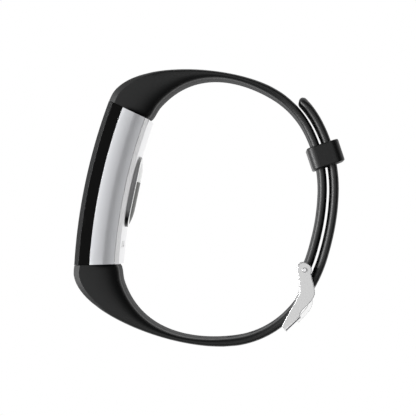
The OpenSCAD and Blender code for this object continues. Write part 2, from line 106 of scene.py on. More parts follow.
# Name, place, width, height and glow. The box lights the case's metal from the side; the panels
# and the strip stand where the glass, the metal's side and the steel reflect them.
soft_box("main_box", (-0.68, -0.16, 0.31), 0.8, 0.22, 17.0)
soft_box("left_panel", (-0.42, 0.0, 0.60), 0.7, 0.56, 1.3)
soft_box("horizon_panel", (-0.80, 0.0, 0.11), 0.9, 0.16, 0.85)
soft_box("overhead_panel", (0.09, 0.0, 0.85), 0.7, 0.20, 1.0)
soft_box("right_strip", (0.24, 0.0, 0.70), 0.6, 0.12, 0.8)


def add(tree, kind, inputs=None, **settings):
    """Adds a node, sets its properties, and fills or links its inputs; returns the node."""
    made = tree.nodes.new(kind)
    for key, value in settings.items():
        setattr(made, key, value)
    for key, value in (inputs or {}).items():
        if isinstance(value, bpy.types.NodeSocket):
            tree.links.new(value, made.inputs[key])
        else:
            made.inputs[key].default_value = value
    return made


def new_material(name):
    """An empty material; returns it with its tree and the output's surface socket."""
    material = bpy.data.materials.new(name)
    material.use_nodes = True
    material.node_tree.nodes.clear()
    output = add(material.node_tree, "ShaderNodeOutputMaterial")
    return material, material.node_tree, output.inputs["Surface"]


world = bpy.data.worlds.new("studio")
world.use_nodes = True
world.node_tree.nodes["Background"].inputs["Color"].default_value = rgb("#ffffff")
world.node_tree.nodes["Background"].inputs["Strength"].default_value = 0.04
bpy.context.scene.world = world
bpy.context.scene.view_settings.view_transform = "Standard"

table_size = 3                            # metres, so that its edge never comes into a reflection
bpy.ops.mesh.primitive_plane_add(size=table_size, location=(0, 0, -0.02 * MM))
table = bpy.context.object
table.name = "light_table"
# Opal acrylic, cast and lit from behind: an even white that shows no shadow and no sheen.
table_white, tree, surface = new_material("opal_acrylic_light_table")
opal = add(tree, "ShaderNodeBsdfPrincipled", {
    "Base Color": rgb("#000000"), "Roughness": 1.0, "Specular IOR Level": 0.0,
    "Emission Color": rgb("#ffffff"), "Emission Strength": 1.0})
tree.links.new(opal.outputs["BSDF"], surface)
table.data.materials.append(table_white)


# ---- Straps ------------------------------------------------------------------------------------
# Both straps are compression moulded in black silicone rubber, with a satin skin. The thin part
# has fully rounded edges; towards the case each strap thickens and gets a chamfer on its outside.
# The longer strap has a row of adjusting holes; the shorter one turns round the spring bar.
def rim_of(node, rise=2 * MM):
    """The outline of a CAD node's upper side face, as points in order around it, in metres."""
    shape = bmesh.new()
    shape.from_mesh(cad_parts[node].data)
    bmesh.ops.remove_doubles(shape, verts=shape.verts, dist=0.002 * MM)
    middle = sum(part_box(node), Vector()).z / 2
    onward = {}
    for edge in shape.edges:
        slopes = sorted(abs(face.normal.z) for face in edge.link_faces)
        if slopes[0] < 0.5 < slopes[-1] and min(v.co.z for v in edge.verts) > middle + rise:
            for a, b in (edge.verts, reversed(edge.verts)):
                onward.setdefault(a, []).append(b)
    loops = []
    while onward:
        loop = [next(iter(onward))]
        while loop:
            ahead = [v for v in onward.pop(loop[-1]) if v in onward]
            if not ahead:
                break
            loop.append(ahead[0])
        loops.append([v.co.copy() for v in loop])
    shape.free()
    return max(loops, key=lambda loop: sum((a - b).length for a, b in zip(loop, loop[1:])))


def resample(points, fractions):
    """Points at the given fractions of a polyline's length, on a smooth curve through it."""
    lengths = [0.0]
    for a, b in zip(points, points[1:]):
        lengths.append(lengths[-1] + (b - a).length)
    found = []
    i = 0
    for fraction in fractions:
        goal = fraction * lengths[-1]
        while i < len(points) - 2 and lengths[i + 1] < goal:
            i += 1
        before, after = points[max(i - 1, 0)], points[min(i + 2, len(points) - 1)]
        step = lengths[i + 1] - lengths[i]
        t = (goal - lengths[i]) / step
        slope_a = (points[i + 1] - before) / (lengths[i + 1] - lengths[max(i - 1, 0)]) * step
        slope_b = (after - points[i]) / (lengths[min(i + 2, len(points) - 1)] - lengths[i]) * step
        found.append((2 * t ** 3 - 3 * t * t + 1) * points[i] + (t ** 3 - 2 * t * t + t) * slope_a
                     + (3 * t * t - 2 * t ** 3) * points[i + 1] + (t ** 3 - t * t) * slope_b)
    return found


def new_piece(name, shape):
    """A mesh object at the origin from a bmesh."""
    mesh = bpy.data.meshes.new(name)
    shape.to_mesh(mesh)
    shape.free()
    piece = bpy.data.objects.new(name, mesh)
    bpy.context.scene.collection.objects.link(piece)
    return piece


def loft(name, rings, caps=True, closed=False):
    """A skin through rings of points that all have the same count."""
    shape = bmesh.new()
    rows = [[shape.verts.new(p) for p in ring] for ring in rings]
    for a, b in zip(rows, rows[1:] + (rows[:1] if closed else [])):
        for i in range(len(a)):
            j = (i + 1) % len(a)
            shape.faces.new((a[i], a[j], b[j], b[i]))
    if caps and not closed:
        shape.faces.new(rows[0][::-1])
        shape.faces.new(rows[-1])
    bmesh.ops.remove_doubles(shape, verts=shape.verts, dist=0.001 * MM)
    bmesh.ops.recalc_face_normals(shape, faces=shape.faces)
    for face in shape.faces:
        face.smooth = True
    return new_piece(name, shape)


def bake_modifiers(piece):
    """Turns the piece with its modifiers into a plain mesh."""
    bpy.context.view_layer.update()
    graph = bpy.context.evaluated_depsgraph_get()
    mesh = bpy.data.meshes.new_from_object(piece.evaluated_get(graph), depsgraph=graph)
    piece.modifiers.clear()
    piece.data = mesh
    return piece


def round_edges(piece, radius_mm, segments=3, sharp_deg=32, bevel_slot=-1, weigh=None):
    """Rounds the sharp edges, each by its own weight if a rule is given, and evens the shading."""
    mesh = piece.data
    shape = bmesh.new()
    shape.from_mesh(mesh)
    weights = shape.edges.layers.float.new("bevel_weight_edge")
    for edge in shape.edges:
        if len(edge.link_faces) == 2 and edge.calc_face_angle() > math.radians(sharp_deg):
            edge[weights] = weigh(edge) if weigh else 1.0
    shape.to_mesh(mesh)
    shape.free()
    bevel = piece.modifiers.new("rounds", "BEVEL")
    bevel.width = radius_mm * MM
    bevel.segments = segments
    bevel.limit_method = "WEIGHT"
    bevel.material = bevel_slot
    bevel.use_clamp_overlap = weigh is None                # short outline edges would hold it back
    mesh.polygons.foreach_set("use_smooth", [True] * len(mesh.polygons))
    weighted = piece.modifiers.new("shading", "WEIGHTED_NORMAL")
    weighted.mode = "FACE_AREA_WITH_ANGLE"
    weighted.weight = 80
    return bake_modifiers(piece)


def finish(name, colour, roughness, metallic=0.0, grain_mm=0.4, drift=0.08, relief=0.1,
           specular=0.5):
    """A procedural finish: a colour that drifts a little, under a fine relief of one grain size.
    Grains finer than about 0.15 mm are drawn that coarse, so that they show."""
    material, tree, surface = new_material(name)
    place = add(tree, "ShaderNodeTexCoord").outputs["Object"]
    grain = add(tree, "ShaderNodeTexNoise", {
        "Vector": place, "Scale": 1 / (grain_mm * MM), "Detail": 3.0})
    base = rgb(colour)
    tone = add(tree, "ShaderNodeMix", {
        "Factor": grain.outputs["Fac"], "A": [c * (1 - drift) for c in base[:3]] + [1.0],
        "B": [min(1.0, c * (1 + drift)) for c in base[:3]] + [1.0]}, data_type="RGBA")
    skin = add(tree, "ShaderNodeBump", {"Height": grain.outputs["Fac"], "Strength": relief,
                                        "Distance": 0.01 * MM})
    body = add(tree, "ShaderNodeBsdfPrincipled", {
        "Base Color": tone.outputs["Result"], "Metallic": metallic, "Roughness": roughness,
        "Specular IOR Level": specular, "Normal": skin.outputs["Normal"]})
    tree.links.new(body.outputs["BSDF"], surface)
    return material


# Silicone rubber from a fine-etched mould: near black, with broad soft highlights along the edges.
# The etched grain is really some 0.05 mm; it is drawn coarser, so that it shows.
silicone, tree, surface = new_material("moulded_silicone_satin")
place = add(tree, "ShaderNodeTexCoord").outputs["Object"]
mottle = add(tree, "ShaderNodeTexNoise", {
    "Vector": place, "Scale": 1 / (6.25 * MM), "Detail": 4.0})
tone = add(tree, "ShaderNodeMix", {"Factor": mottle.outputs["Fac"], "A": rgb("#0b0c0c"),
                                   "B": rgb("#0f1011")}, data_type="RGBA")
grain = add(tree, "ShaderNodeTexNoise", {
    "Vector": place, "Scale": 1 / (0.238 * MM), "Detail": 2.0})
skin = add(tree, "ShaderNodeBump", {"Height": grain.outputs["Fac"], "Strength": 0.05,
                                    "Distance": 0.02 * MM})
rubber = add(tree, "ShaderNodeBsdfPrincipled", {
    "Base Color": tone.outputs["Result"], "Roughness": 0.42, "IOR": 1.5,
    "Normal": skin.outputs["Normal"]})
tree.links.new(rubber.outputs["BSDF"], surface)

# The same rubber from the mould's blasted side: greyer and without a highlight, against the wrist.
inner_matte, tree, surface = new_material("moulded_silicone_matte_inside")
place = add(tree, "ShaderNodeTexCoord").outputs["Object"]
grain = add(tree, "ShaderNodeTexNoise", {
    "Vector": place, "Scale": 1 / (0.3125 * MM), "Detail": 3.0})
skin = add(tree, "ShaderNodeBump", {"Height": grain.outputs["Fac"], "Strength": 0.3,
                                    "Distance": 0.02 * MM})
rubber = add(tree, "ShaderNodeBsdfPrincipled", {
    "Base Color": rgb("#17181a"), "Roughness": 0.72, "IOR": 1.43,
    "Normal": skin.outputs["Normal"]})
tree.links.new(rubber.outputs["BSDF"], surface)

strap_middle = sum(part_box("upper_strap"), Vector()).z / 2
strap_thick = 2.2 * MM
chamfer_at_case = 1.65 * MM
chamfer_run = 20 * MM
chamfer_slope = 0.9                       # its depth across the strap over its depth inwards


def strap_section(outer, inner, half_width, chamfer, rounded):
    """One ring of a strap's skin, from its two faces' points at this station. The outside goes
    from a chamfer to a round edge; the inside falls away along an ellipse."""
    thick = (outer - inner).length
    swell = max(0.0, thick - strap_thick)
    inward = (inner - outer) / max(thick, 1e-9)
    radius = min(thick / 2, 1.15 * MM)
    reach = thick / 2 + 0.30 * swell
    depth = min(thick / 2, 1.05 * MM) + 0.25 * swell
    side = []
    for k in range(10):
        t = k / 9
        angle = math.pi / 2 * t
        round_in, round_down = radius * (1 - math.cos(angle)), radius * (1 - math.sin(angle))
        flat_in, flat_down = chamfer * t, chamfer_slope * chamfer * (1 - t)
        side.append((flat_in + (round_in - flat_in) * rounded,
                     flat_down + (round_down - flat_down) * rounded))
    for k in range(15):
        angle = math.pi / 2 * k / 14
        side.append((thick - reach + reach * math.sin(angle), depth * (1 - math.cos(angle))))
    top = [outer + inward * a + Vector((0, 0, half_width - drop)) for a, drop in side]
    return top + [Vector((p.x, p.y, -p.z)) for p in reversed(top)]


def strap_skin(node, far_end, tip_corner):
    """The strap's skin, from its seam at the case to its far end, from the CAD node's outline."""
    outline = rim_of(node)
    seam = max(range(len(outline)), key=lambda i: (outline[i] - outline[i - 1]).length)
    outline = outline[seam:] + outline[:seam]              # the seam is the longest straight edge
    if outline[0].x > outline[-1].x:
        outline.reverse()                                  # the outer face starts at the glass
    far = max(range(len(outline)), key=lambda i: outline[i].y * far_end)
    faces = (outline[:far + 1], outline[far:][::-1])
    count = 150                                            # stations, closer at the far end
    fractions = [1 - (1 - i / count) ** 1.35 for i in range(count + 1)]
    outer, inner = (resample(face, fractions) for face in faces)
    length = sum((b - a).length for a, b in zip(outer, outer[1:]))
    rings = []
    for f, a, b in zip(fractions, outer, inner):
        left = (1 - f) * length
        half = (a.z + b.z) / 2 - strap_middle
        if left < tip_corner:
            half -= tip_corner - math.sqrt(tip_corner ** 2 - (tip_corner - left) ** 2)
        fade = min(1.0, f * length / chamfer_run)
        rings.append(strap_section(Vector((a.x, a.y, 0)), Vector((b.x, b.y, 0)), half,
                                   chamfer_at_case * (1 - fade) ** 0.6, fade ** 3))
    skin = loft(node + "_skin", rings)
    skin.data.transform(Matrix.Translation((0, 0, strap_middle)))
    skin.data.set_sharp_from_angle(angle=math.radians(28))
    skin.data.materials.append(silicone)
    skin.data.materials.append(inner_matte)
    section = len(rings[0])
    for i, face in enumerate(skin.data.polygons):          # the wall on the wrist's side
        if i < section * count and i % section == section // 2 - 1:
            face.material_index = 1
    return skin


def cut(piece, cutter):
    """Takes the cutter's shape out of the piece and clears the cutter away."""
    boolean = piece.modifiers.new("cut", "BOOLEAN")
    boolean.operation = "DIFFERENCE"
    boolean.solver = "MANIFOLD"
    boolean.object = cutter
    bake_modifiers(piece)
    bpy.data.objects.remove(cutter)


def hole_places(node):
    """The middle of each adjusting hole and the direction through the strap there: away from the
    case, the only points near the strap's middle are the holes' rims, with gaps between them."""
    past_case, rim_half, gap, loop_radius = -18 * MM, 1.25 * MM, 1.4 * MM, 28 * MM
    seen = []
    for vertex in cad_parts[node].data.vertices:
        if abs(vertex.co.z - strap_middle) < rim_half and vertex.co.x > past_case:
            seen.append((math.atan2(vertex.co.y, vertex.co.x), vertex.co.copy()))
    seen.sort(key=lambda item: item[0])
    groups = [[seen[0][1]]]
    for before, after in zip(seen, seen[1:]):
        if (after[0] - before[0]) * loop_radius > gap:
            groups.append([])
        groups[-1].append(after[1])
    middles = [sum(group, Vector()) / len(group) for group in groups]
    places = []
    for i, middle in enumerate(middles):
        along = middles[min(i + 1, len(middles) - 1)] - middles[max(i - 1, 0)]
        places.append((middle, Vector((along.y, -along.x, 0)).normalized()))
    return places


def grow(name, points, facings, tree, settings):
    """Runs a Geometry Nodes tree on loose points that carry a facing; returns the plain mesh."""
    mesh = bpy.data.meshes.new(name)
    mesh.from_pydata([tuple(p) for p in points], [], [])
    facing = mesh.attributes.new("facing", "FLOAT_VECTOR", "POINT")
    facing.data.foreach_set("vector", [c for f in facings for c in f])
    piece = bpy.data.objects.new(name, mesh)
    bpy.context.scene.collection.objects.link(piece)
    grower = piece.modifiers.new("grow", "NODES")
    grower.node_group = tree
    for socket in tree.interface.items_tree:
        if socket.item_type == "SOCKET" and socket.in_out == "INPUT" and socket.name in settings:
            grower[socket.identifier] = settings[socket.name]
    return bake_modifiers(piece)


# One adjusting hole is a round-ended slot; the tree sets a cutter of that shape at every place.
punch = bpy.data.node_groups.new("slot_punches", "GeometryNodeTree")
for name, kind in (("Places", "NodeSocketGeometry"), ("Length", "NodeSocketFloat"),
                   ("Width", "NodeSocketFloat"), ("Corner", "NodeSocketFloat"),
                   ("Reach", "NodeSocketFloat"), ("Finish", "NodeSocketMaterial")):
    punch.interface.new_socket(name, in_out="INPUT", socket_type=kind)
punch.interface.new_socket("Cutters", in_out="OUTPUT", socket_type="NodeSocketGeometry")
given = add(punch, "NodeGroupInput").outputs
slot_outline = add(punch, "GeometryNodeCurvePrimitiveQuadrilateral", {
    "Width": given["Length"], "Height": given["Width"]})
slot_rounded = add(punch, "GeometryNodeFilletCurve", {
    "Curve": slot_outline.outputs["Curve"], "Radius": given["Corner"], "Count": 8}, mode="POLY")
slot_face = add(punch, "GeometryNodeFillCurve", {"Curve": slot_rounded.outputs["Curve"]},
                mode="NGONS")
twice = add(punch, "ShaderNodeMath", {0: given["Reach"], 1: 2.0}, operation="MULTIPLY")
slot_solid = add(punch, "GeometryNodeExtrudeMesh", {
    "Mesh": slot_face.outputs["Mesh"], "Offset Scale": twice.outputs["Value"]})
slot_closed = add(punch, "GeometryNodeJoinGeometry")
turned = add(punch, "GeometryNodeFlipFaces", {"Mesh": slot_face.outputs["Mesh"]})
punch.links.new(slot_solid.outputs["Mesh"], slot_closed.inputs["Geometry"])
punch.links.new(turned.outputs["Mesh"], slot_closed.inputs["Geometry"])
back = add(punch, "ShaderNodeMath", {0: given["Reach"], 1: -1.0}, operation="MULTIPLY")
backed = add(punch, "ShaderNodeCombineXYZ", {"Z": back.outputs["Value"]})
centred = add(punch, "GeometryNodeTransform", {
    "Geometry": slot_closed.outputs["Geometry"], "Translation": backed.outputs["Vector"]})
welded = add(punch, "GeometryNodeMergeByDistance", {
    "Geometry": centred.outputs["Geometry"], "Distance": 0.001 * MM})
facing = add(punch, "GeometryNodeInputNamedAttribute", {"Name": "facing"},
             data_type="FLOAT_VECTOR")
upright = add(punch, "FunctionNodeAlignRotationToVector", {"Vector": (0.0, 0.0, 1.0)}, axis="Y")
through = add(punch, "FunctionNodeAlignRotationToVector", {
    "Rotation": upright.outputs["Rotation"], "Vector": facing.outputs["Attribute"]},
    axis="Z", pivot_axis="Y")
placed = add(punch, "GeometryNodeInstanceOnPoints", {
    "Points": given["Places"], "Instance": welded.outputs["Geometry"],
    "Rotation": through.outputs["Rotation"]})
real = add(punch, "GeometryNodeRealizeInstances", {"Geometry": placed.outputs["Instances"]})
finished = add(punch, "GeometryNodeSetMaterial", {
    "Geometry": real.outputs["Geometry"], "Material": given["Finish"]})
add(punch, "NodeGroupOutput", {"Cutters": finished.outputs["Geometry"]})


def rod(name, radius, half_length, at, sides=40):
    """A plain rod along Z, for cutting with."""
    shape = bmesh.new()
    bmesh.ops.create_cone(shape, cap_ends=True, segments=sides, radius1=radius, radius2=radius,
                          depth=2 * half_length, matrix=Matrix.Translation(at))
    return new_piece(name, shape)


pin = sum(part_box("spring_bar_tube"), Vector()) / 2
tail_corner = 4 * MM
for strap, far_end, tip_corner in (("upper_strap", -1, 0), ("lower_strap", 1, tail_corner)):
    piece = strap_skin(strap, far_end, tip_corner)
    if strap == "lower_strap":
        middles, facings = zip(*hole_places(strap))
        cut(piece, grow("hole_cutters", middles, facings, punch, {
            "Length": 3.4 * MM, "Width": 2.4 * MM, "Corner": 1.15 * MM, "Reach": 3 * MM,
            "Finish": silicone}))
    else:
        cut(piece, rod("bar_bore", 0.95 * MM, 12 * MM, pin))
        cut(piece, rod("tang_slot", 1.85 * MM, 1.15 * MM, pin))
    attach(piece, "case")
    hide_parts(strap)

# ---- Keeper ------------------------------------------------------------------------------------
# The keeper is a moulded silicone loop, in the straps' satin black, with large rounds along its
# outer corners and small ones round its rims.
def rounded_loop(centre, across, half_across, half_up, radius, steps=8):
    """Points round a rounded rectangle that stands in the plane of Z and a direction."""
    points = []
    for quarter, (i, j) in enumerate(((1, 1), (-1, 1), (-1, -1), (1, -1))):
        for k in range(steps + 1):
            angle = math.pi / 2 * (quarter + k / steps)
            points.append(centre + across * (i * (half_across - radius) + radius * math.cos(angle))
                          + Vector((0, 0, j * (half_up - radius) + radius * math.sin(angle))))
    return points


outline = rim_of("keeper")
longest = max(range(len(outline)), key=lambda i: (outline[i] - outline[i - 1]).length)
across = (outline[longest] - outline[longest - 1]).normalized()
onward = Vector((-across.y, across.x, 0))
keeper_low, keeper_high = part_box("keeper")
centre = (keeper_low + keeper_high) / 2
half_across = max((p - centre).dot(across) for p in outline)
rim_swell = 0.2 * MM                      # each moulded rim stands out by this much
half_along = max((p - centre).dot(onward) for p in outline) + rim_swell
half_up = (keeper_high.z - keeper_low.z) / 2
wall = 1.0 * MM
keeper_corner = 2.3 * MM
rings = []
for side, inset in ((-1, 0), (1, 0), (1, wall), (-1, wall)):
    rings.append(rounded_loop(centre + onward * side * half_along, across, half_across - inset,
                              half_up - inset, keeper_corner - inset))
piece = round_edges(loft("keeper_band", rings, closed=True), 0.42, 4, sharp_deg=60)
piece.data.materials.append(silicone)
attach(piece, "keeper_loop")
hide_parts("keeper")

# ---- Case --------------------------------------------------------------------------------------
# The case is milled aluminium, bead blasted and anodised silver, with gently barrelled sides. It
# sits between a back cover in the same metal and a black moulded frame that carries the glass.
def merged_copy(node, rows=False):
    """A clean mesh object from a CAD node: welded, with its flat faces whole again, or with only
    its triangles joined in pairs so that its rows of vertices stay."""
    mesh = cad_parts[node].data
    shape = bmesh.new()
    shape.from_mesh(mesh)
    bmesh.ops.remove_doubles(shape, verts=shape.verts, dist=0.002 * MM)
    if rows:
        bmesh.ops.join_triangles(shape, faces=shape.faces, angle_face_threshold=math.radians(1),
                                 angle_shape_threshold=math.pi)
    else:
        bmesh.ops.dissolve_limit(shape, angle_limit=math.radians(0.5), verts=shape.verts,
                                 edges=shape.edges)
    return new_piece(node + "_piece", shape)


# Anodised over fine bead blasting: a silver without mirror images, which runs from light to grey
# and back across the barrelled side.
anodised, tree, surface = new_material("bead_blasted_anodised_aluminium")
place = add(tree, "ShaderNodeTexCoord").outputs["Object"]
blast = add(tree, "ShaderNodeTexNoise", {
    "Vector": place, "Scale": 1 / (0.1923 * MM), "Detail": 2.0})
pits = add(tree, "ShaderNodeBump", {"Height": blast.outputs["Fac"], "Strength": 0.15,
                                    "Distance": 0.01 * MM})
metal = add(tree, "ShaderNodeBsdfPrincipled", {
    "Base Color": rgb("#d0d1d4"), "Metallic": 1.0, "Roughness": 0.29,
    "Normal": pits.outputs["Normal"]})
tree.links.new(metal.outputs["BSDF"], surface)

# The same metal, blasted a little coarser: paler and softer than the case's side.
back_metal = finish("bead_blasted_back_cover", "#f6f6f7", 0.36, 1.0, 0.2, 0.03)
# Moulded black with hardly any sheen, so that the frame stays darker than the glass beside it.
frame_black = finish("black_moulded_polycarbonate", "#060606", 0.3, 0.0, 0.3, 0.15, 0.05,
                     specular=0.12)
# Glass printed black behind: a deep black with a clear reflection and a faint drift in the print.
cover_glass = finish("black_backed_cover_glass", "#08090a", 0.1, 0.0, 2.5, 0.25, 0.0)

# The case's parts are curved about one axis, which follows from the glass's chord and rise. In
# section the metal's side is an arc; the frame's is flat, and meets the metal's front edge.
glass_low, glass_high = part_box("front_glass")
half_chord = (glass_high.y - glass_low.y) / 2
seam_x = max(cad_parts["front_glass"].data.vertices, key=lambda v: v.co.y).co.x
front_radius = (half_chord ** 2 + (seam_x - glass_low.x) ** 2) / (2 * (seam_x - glass_low.x))
case_axis = Vector((glass_low.x + front_radius, (glass_low.y + glass_high.y) / 2))
shell_low, shell_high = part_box("case_shell")
case_middle = (shell_low.z + shell_high.z) / 2
case_half = (shell_high.z - shell_low.z) / 2
barrel_middle = 8.2 * MM                  # the widest place, as a depth behind the glass's crown
barrel_radius = 24 * MM
metal_front = 4.0 * MM                    # the depth at which the metal's side starts
cover_edge = 10.6 * MM                    # the depth at which the back cover's edge starts
cover_bend = 11.1 * MM                    # and where that edge starts to lean in
cover_lean = 0.14


def metal_side(depth):
    """Half the case's width at a depth behind the glass's crown."""
    return case_half - (depth - barrel_middle) ** 2 / (2 * barrel_radius)


def cover_side(depth):
    """The back cover's half width: as the metal's edge, then leaning in."""
    return metal_side(cover_edge) - cover_lean * max(0.0, depth - cover_bend)


def frame_side(depth):
    """The black frame's half width, flat and just inside the metal's front edge."""
    return metal_side(metal_front) - 0.02 * MM


def widen(piece, half_at, each_row):
    """Scales a case part across its width until its sides follow the given profile: each row of
    points at one depth by itself, or all of them together."""
    rows = {}
    for vertex in piece.data.vertices:
        depth = front_radius - (vertex.co.xy - case_axis).length
        rows.setdefault(round(depth / (0.1 * MM)) if each_row else 0, []).append((vertex, depth))
    for row in rows.values():
        widest = max(abs(vertex.co.z - case_middle) for vertex, depth in row)
        for vertex, depth in row:
            offset = vertex.co.z - case_middle
            if abs(offset) > 0.8 * widest > 0.6 * case_half:
                vertex.co.z = case_middle + offset * half_at(depth) / widest


for node, radius, material, slot, half_at, each_row in (
        ("case_shell", 0.06, anodised, "case_silver", metal_side, True),
        ("back_cover", 0.08, back_metal, "case_silver", cover_side, True),
        ("front_frame", 0.02, frame_black, "black_frame", frame_side, True),
        ("front_glass", 0.04, cover_glass, "cover_glass", frame_side, False)):
    piece = merged_copy(node, rows=node == "case_shell")
    widen(piece, half_at, each_row)
    round_edges(piece, radius)
    piece.data.materials.append(material)
    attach(piece, "case")
    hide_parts(node)

# ---- Sensor ------------------------------------------------------------------------------------
# The optical sensor stands on the back in a moulded polycarbonate ring, grey, with painted shade
# at its lower end and painted light at the end by the light cap. A domed lens fills it: smoked
# with a dot screen, and frosted at its upper end.
def trim(piece, place, facing):
    """Cuts off what lies beyond a plane, and closes the cut."""
    shape = bmesh.new()
    shape.from_mesh(piece.data)
    parted = bmesh.ops.bisect_plane(shape, geom=shape.verts[:] + shape.edges[:] + shape.faces[:],
                                    plane_co=place, plane_no=facing, clear_outer=True)
    bmesh.ops.holes_fill(shape, edges=[edge for edge in parted["geom_cut"]
                                       if isinstance(edge, bmesh.types.BMEdge)])
    shape.to_mesh(piece.data)
    shape.free()


sensor_low, sensor_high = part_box("sensor_housing")
window_low, window_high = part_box("sensor_window")
cap_low, cap_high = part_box("light_cap")
sensor_middle = (sensor_low + sensor_high) / 2
long, wide = sensor_high.y - sensor_low.y, sensor_high.z - sensor_low.z
lens_long, lens_wide = cap_high.y - window_low.y, window_high.z - window_low.z
dome = 0.62 * MM
rim_x = window_high.x - dome
lip = 0.6 * MM
end_flat = 0.5 * MM
parting = 0.03 * MM                       # the joint between the smoked lens and the light cap
crisp = math.radians(40)                  # edges that turn by more than this stay sharp


def stadium(length, width, x):
    """A round-ended outline across the sensor's axis, with a short flat at each end."""
    return rounded_loop(Vector((x, sensor_middle.y, sensor_middle.z)), Vector((0, 1, 0)),
                        length / 2, width / 2, (width - end_flat) / 2, steps=12)


# Polished grey polycarbonate, with painted shade that makes it nearly black at its lower end and
# painted light that makes it pale by the light cap.
housing_painted_shade_and_light, tree, surface = new_material("moulded_polycarbonate_painted_shade_and_light")
place = add(tree, "ShaderNodeTexCoord").outputs["Object"]
apart = add(tree, "ShaderNodeSeparateXYZ", {"Vector": place})
along = add(tree, "ShaderNodeMapRange", {
    "Value": apart.outputs["Y"], "From Min": sensor_low.y, "From Max": sensor_high.y})
shade = add(tree, "ShaderNodeValToRGB", {"Fac": along.outputs["Result"]})
ramp = shade.color_ramp
# The stops paint shade, near black at the lower end, and paint light, pale to white by the cap.
for at, colour in ((0.0, "#0c0d0e"), (0.12, "#1c1d1e"), (0.24, "#d6d8da"), (0.62, "#e6e7e9"),
                   (1.0, "#ffffff")):
    stop = ramp.elements[0] if at == 0 else ramp.elements[-1] if at == 1 else ramp.elements.new(at)
    stop.position = at
    stop.color = rgb(colour)
shell = add(tree, "ShaderNodeBsdfPrincipled", {"Base Color": shade.outputs["Color"],
                                               "Roughness": 0.35, "IOR": 1.58})
tree.links.new(shell.outputs["BSDF"], surface)

# Smoked lens with a screen of dots printed behind it: dark olive grey, with a fine lighter grid.
lens_dark, tree, surface = new_material("smoked_lens_with_dot_screen")
place = add(tree, "ShaderNodeTexCoord").outputs["Object"]
dots = add(tree, "ShaderNodeTexVoronoi", {"Vector": place, "Scale": 1 / (0.42 * MM),
                                          "Randomness": 0.15})
spot = add(tree, "ShaderNodeMapRange", {"Value": dots.outputs["Distance"], "From Min": 0.28,
                                        "From Max": 0.40, "To Min": 1.0, "To Max": 0.0})
tint = add(tree, "ShaderNodeMix", {"Factor": spot.outputs["Result"], "A": rgb("#33352d"),
                                   "B": rgb("#8d9088")}, data_type="RGBA")
lens = add(tree, "ShaderNodeBsdfPrincipled", {"Base Color": tint.outputs["Result"],
                                              "Roughness": 0.4, "IOR": 1.4})
tree.links.new(lens.outputs["BSDF"], surface)
# A bright plated lip gives the ring its thin light outline; the cap is white, with a painted glow.
chrome = finish("bright_plated_lip", "#f0f0f0", 0.2, 1.0, 0.3, 0.02, 0.0)
frosted = finish("frosted_light_cap_painted_glow", "#eceeec", 0.45, 0.0, 0.2, 0.02)
cap_painted_glow = frosted.node_tree.nodes["Principled BSDF"]           # a painted glow: nothing lights it from behind
# The emission paints a glow on the cap, which is no lamp.
cap_painted_glow.inputs["Emission Color"].default_value = rgb("#ffffff")
cap_painted_glow.inputs["Emission Strength"].default_value = 0.35

rings = [stadium(long, wide, sensor_low.x)]
for k in range(5):
    angle = math.pi / 2 * k / 4
    inset = 2 * lip * (1 - math.cos(angle))
    rings.append(stadium(long - inset, wide - inset, rim_x - lip + lip * math.sin(angle)))
clear = 0.1 * MM
for x in (rim_x, rim_x - 0.3 * MM, sensor_low.x):
    rings.append(stadium(lens_long + clear, lens_wide + clear, x))
piece = loft("sensor_ring", rings, closed=True)
piece.data.set_sharp_from_angle(angle=crisp)
piece.data.materials.append(housing_painted_shade_and_light)
piece.data.materials.append(chrome)
for face in piece.data.polygons:                           # the lip that stands round the lens
    face.material_index = int(face.center.x > rim_x - 0.32 * lip)
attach(piece, "case")
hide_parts("sensor_housing")

for node, material, slot, side in (("sensor_window", lens_dark, "window_dark", -1),
                                   ("light_cap", frosted, "cap_light", 1)):
    rings = [stadium(lens_long, lens_wide, window_low.x - dome)]
    for k in range(10):                                    # the dome, from its rim to its crown,
        spread = 1 - (k / 9.6) ** 1.2                      # which stays a narrow flat
        rings.append(stadium(lens_long - lens_wide * (1 - spread) * 0.93,
                             lens_wide * max(spread, 0.07), rim_x + dome * (1 - spread ** 2)))
    piece = loft(node + "_lens", rings)
    trim(piece, (0, cap_low.y - (parting if side < 0 else 0), 0), (0, -side, 0))
    piece.data.set_sharp_from_angle(angle=crisp)
    piece.data.materials.append(material)
    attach(piece, "case")
    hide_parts(node)

# ---- Buckle ------------------------------------------------------------------------------------
# The buckle is stainless steel: bead blasted side plates and crossbar with polished edges, a
# polished tang bent from rod, and a spring bar whose ends show in the side plates.

# Blasted steel is an even light grey; its polished edges draw thin white and dark lines round it.
satin_steel = finish("bead_blasted_stainless_steel", "#f2f2f2", 0.66, 1.0, 0.15, 0.02)
polished_steel = finish("polished_stainless_steel", "#f4f4f5", 0.18, 1.0, 0.3, 0.02, 0.0)
tang_finish = finish("polished_stainless_rod", "#fcfcfc", 0.16, 1.0, 0.2, 0.02, 0.0)


def smoothed(outline, times, sharp_deg=55):
    """A closed outline with its gentle bends rounded and its sharp corners kept."""
    for _ in range(times):
        rounded = []
        for i, here in enumerate(outline):
            before, after = outline[i - 1], outline[(i + 1) % len(outline)]
            if (here - before).angle(after - here) > math.radians(sharp_deg):
                rounded.append(here)
            else:
                rounded += [here.lerp(before, 0.25), here.lerp(after, 0.25)]
        outline = rounded
    return outline


def slab(shape, outline, low, high):
    """Adds a flat plate with the given outline, between two heights, to a bmesh."""
    bottom = [shape.verts.new((p.x, p.y, low)) for p in outline]
    top = [shape.verts.new((p.x, p.y, high)) for p in outline]
    shape.faces.new(bottom[::-1])
    shape.faces.new(top)
    for i in range(len(outline)):
        j = (i + 1) % len(outline)
        shape.faces.new((bottom[i], bottom[j], top[j], top[i]))


